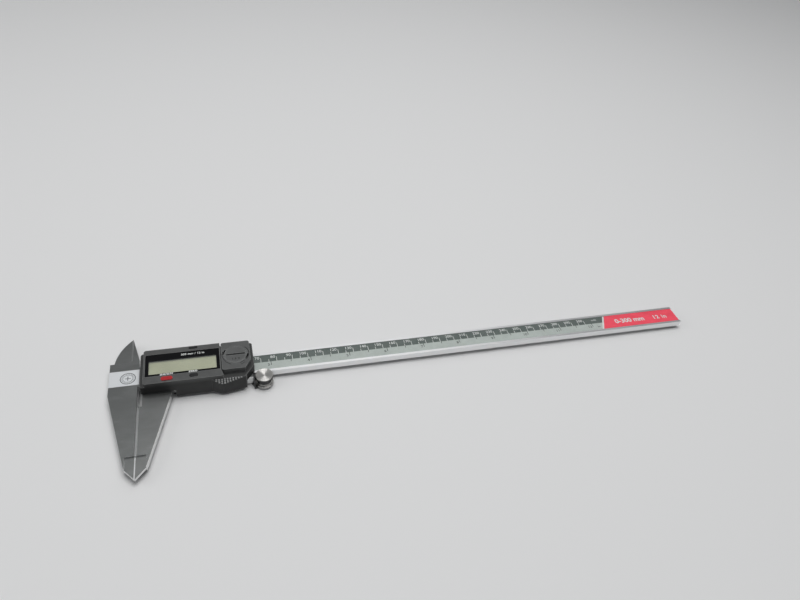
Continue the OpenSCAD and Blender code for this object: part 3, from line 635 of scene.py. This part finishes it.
clear = Paint("clear_pane", (0.75, 0.78, 0.72), 0.06, Alpha=0.12)
clear.set("Roughness", clear.remap(clear.noise((9, 4, 4), 5), 0.35, 0.7, 0.04, 0.12))
pane_x = (VIEW_X[0] + PANE_GAP, VIEW_X[1] - PANE_GAP)
pane_y = (VIEW_Y[0] + PANE_GAP, VIEW_Y[1] - PANE_GAP)
pane = Shape()
pane.prism(rounded(pane_x, pane_y, VIEW_CORNER), win_low.z + 0.05, win_high.z - 0.12)
pane.piece("window_pane", clear.mat, "slider", "window_gloss")

WINDOW_INK = on_face(win_high.z)
POWER_WORD_X, ZERO_WORD_X = 16.9, 32.2   # middles of the words above the two buttons
BUTTON_WORDS_Y = -8.6
panel_words = Shape()
panel_words.words("300 mm / 12 in", 25.3, 6.3, WINDOW_INK, 1.5, "LEFT", spacing=1.1, bold=0.06)
panel_words.words("ON/OFF", POWER_WORD_X, BUTTON_WORDS_Y, WINDOW_INK, 1.2, "CENTER", spacing=1.35, bold=0.1)
panel_words.words("ZERO", ZERO_WORD_X, BUTTON_WORDS_Y, WINDOW_INK, 1.2, "CENTER", spacing=1.3, bold=0.1)
panel_words.piece("panel_lettering", WHITE_INK, "slider", "window_gloss")

# ---------------------------------------------------------------- battery block marks

cap_at = middle("battery_cap").xy
BLOCK_INK = on_face(local_box("battery_block")[1].z, 0.02)
# the turn marks are moulded grooves, drawn as near-black strips of painted shade
marks = Shape()
marks.arc(cap_at, (7.84, 8.34), BLOCK_INK, start=-42, sweep=84, steps=28)
marks.arc(cap_at, (7.84, 8.3), BLOCK_INK, start=158, sweep=62, steps=22)
marks.stroke((51.3, -5.0), (54.7, -7.8), 0.42, BLOCK_INK)
for start, end in (((60.2, -7.3), (62.9, -5.5)), ((60.5, -8.7), (63.1, -7.0))):
    marks.stroke(start, end, 0.4, BLOCK_INK)
marks.piece("turn_marks", GROOVE_SHADE, "slider", "battery_plastic")

CAP_WORD_X = 57.8
CAP_INK = on_face(local_box("battery_cap")[1].z, 0.02)
cap_marks = Shape()
cap_marks.words("1.5 V", CAP_WORD_X, -3.3, CAP_INK, 1.5, "CENTER", spacing=1.15, bold=0.06)
cap_marks.piece("cap_rating", GROOVE_SHADE, "battery_cap", "battery_plastic")

# ---------------------------------------------------------------- nubs on the thumb grip


SIDE_Y = -15.2    # the straight side of the housing
LEDGE_Z = 6.0     # where the grip's slope starts
GRIP_OUTLINE = ((42.6, SIDE_Y), (46.8, -17.25), (48.6, -17.7), (50.3, -17.62), (63.4, SIDE_Y))


def grip_edge(x):
    """Y of the grip's outer edge where it meets the slope, beside the straight housing side."""
    for (x0, y0), (x1, y1) in zip(GRIP_OUTLINE, GRIP_OUTLINE[1:]):
        if x0 <= x <= x1:
            return y0 + (y1 - y0) * (x - x0) / (x1 - x0)
    return SIDE_Y


def nub(shape, centre, half_x, half_down):
    """One raised nub standing on the slope of the grip."""
    across = Vector((1, 0, 0))
    down, away = Vector((0, -1, -1)).normalized(), Vector((0, -1, 1)).normalized()
    loops = []
    for taper, lift in ((0, -0.1), (0, 0.1), (0.16, 0.34)):
        loops.append([
            shape.bm.verts.new(at(*(centre + across * sx * (half_x - taper) + down * sd * (half_down - taper)
                                    + away * lift)))
            for sx, sd in ((-1, -1), (1, -1), (1, 1), (-1, 1))])
    shape.bm.faces.new(loops[0][::-1])
    shape.bm.faces.new(loops[2])
    for lower, upper in zip(loops, loops[1:]):
        for i in range(4):
            j = (i + 1) % 4
            shape.bm.faces.new((lower[i], lower[j], upper[j], upper[i]))


nubs = Shape()
NUB_COLUMNS = 10
NUB_START = 45.2
NUB_PITCH = 1.65
NUB_ROOM = 0.8        # each nub's share of the slope, measured along Y
NUB_MARGIN = 0.05     # bare slope above the first nub and below the last
NUB_HALF_WIDTH = 0.5
for column in range(NUB_COLUMNS):
    x = NUB_START + NUB_PITCH * column
    room = SIDE_Y - grip_edge(x)
    rows = max(1, round(room / NUB_ROOM))
    pitch = (room - 2 * NUB_MARGIN) / rows
    for row in range(rows):
        out = NUB_MARGIN + pitch * (row + 0.5)
        nub(nubs, Vector((x, SIDE_Y - out, LEDGE_Z - out)), NUB_HALF_WIDTH, pitch * 0.57)
# the nubs are of the housing's dark plastic; their light grey is a painted highlight
nub_piece = nubs.piece("grip_nubs", plastic("grip_nub_highlight", (0.30, 0.303, 0.30), 0.36, 0.3, 0.004),
                       "slider", "housing_plastic")
round_edges(nub_piece, 0.06, 30)

# ---------------------------------------------------------------- knurl of the lock screw

knob_low, knob_high = local_box("lock_screw")
knob = middle("lock_screw")
KNOB_R = (knob_high.x - knob_low.x) / 2
KNURL_Y = (knob_high.y - 4.9, knob_high.y - 0.7)
RIDGES = 40
RIDGE_SPREAD = 0.62 * math.pi / RIDGES
knurl = Shape()
for i in range(RIDGES):
    a = 2 * math.pi * i / RIDGES
    profile = [(KNOB_R - 0.12, a - RIDGE_SPREAD), (KNOB_R + 0.1, a), (KNOB_R - 0.12, a + RIDGE_SPREAD)]
    near, far = (
        [knurl.bm.verts.new(at(knob.x + r * math.cos(t), y, knob.z + r * math.sin(t))) for r, t in profile]
        for y in KNURL_Y)
    knurl.bm.faces.new(near)
    knurl.bm.faces.new(far[::-1])
    for j in range(3):
        k = (j + 1) % 3
        knurl.bm.faces.new((near[j], near[k], far[k], far[j]))
knurl.piece("lock_knurl", MATERIALS["knurled_chrome"], "lock_screw", "knurled_chrome")

# ---------------------------------------------------------------- camera, floor and lights

CAMERA_PLACE = (-0.12088, -0.27896, 0.31799)
CAMERA_TURN = (49.2226, -5.1453, -14.3234)

camera = bpy.data.objects.new("camera", bpy.data.cameras.new("camera"))
camera.data.lens = 29.78
camera.data.sensor_width = 36
camera.data.clip_start = 0.01
camera.location = CAMERA_PLACE
camera.rotation_euler = [math.radians(a) for a in CAMERA_TURN]
bpy.context.scene.collection.objects.link(camera)
bpy.context.scene.camera = camera

FLOOR_HALF = 6.0
FLOOR_DROP = 0.0001
floor_mesh = bpy.data.meshes.new("floor")
floor_mesh.from_pydata([
    (-FLOOR_HALF, -FLOOR_HALF, 0), (FLOOR_HALF, -FLOOR_HALF, 0), (FLOOR_HALF, FLOOR_HALF, 0),
    (-FLOOR_HALF, FLOOR_HALF, 0),
], [], [(0, 1, 2, 3)])
floor_paint = Paint("floor_paint", (0.80, 0.80, 0.80), 0.7)
floor_mesh.materials.append(floor_paint.mat)
floor = bpy.data.objects.new("floor", floor_mesh)
floor.location.z = -FLOOR_DROP
bpy.context.scene.collection.objects.link(floor)


def softbox(name, place, target, size, power):
    """A rectangular light in metres and watts, turned towards a point."""
    data = bpy.data.lights.new(name, "AREA")
    data.shape = "RECTANGLE"
    data.size, data.size_y = size
    data.energy = power
    light = bpy.data.objects.new(name, data)
    light.location = place
    light.rotation_euler = (Vector(target) - Vector(place)).to_track_quat("-Z", "Y").to_euler()
    bpy.context.scene.collection.objects.link(light)


softbox("key_light", (0.05, 0.10, 1.45), (0, 0, 0), (1.1, 0.9), 13)
softbox("back_light", (0.22, 0.95, 1.0), (-0.05, 0, 0), (0.7, 0.6), 1.0)
softbox("side_light", (-1.3, 0.2, 0.8), (-0.1, 0, 0), (0.7, 0.7), 2.5)

world = bpy.data.worlds.new("room")
world.use_nodes = True
background = world.node_tree.nodes["Background"]
background.inputs["Color"].default_value = (0.86, 0.88, 0.9, 1)
background.inputs["Strength"].default_value = 0.22
bpy.context.scene.world = world
bpy.context.scene.view_settings.view_transform = "Standard"
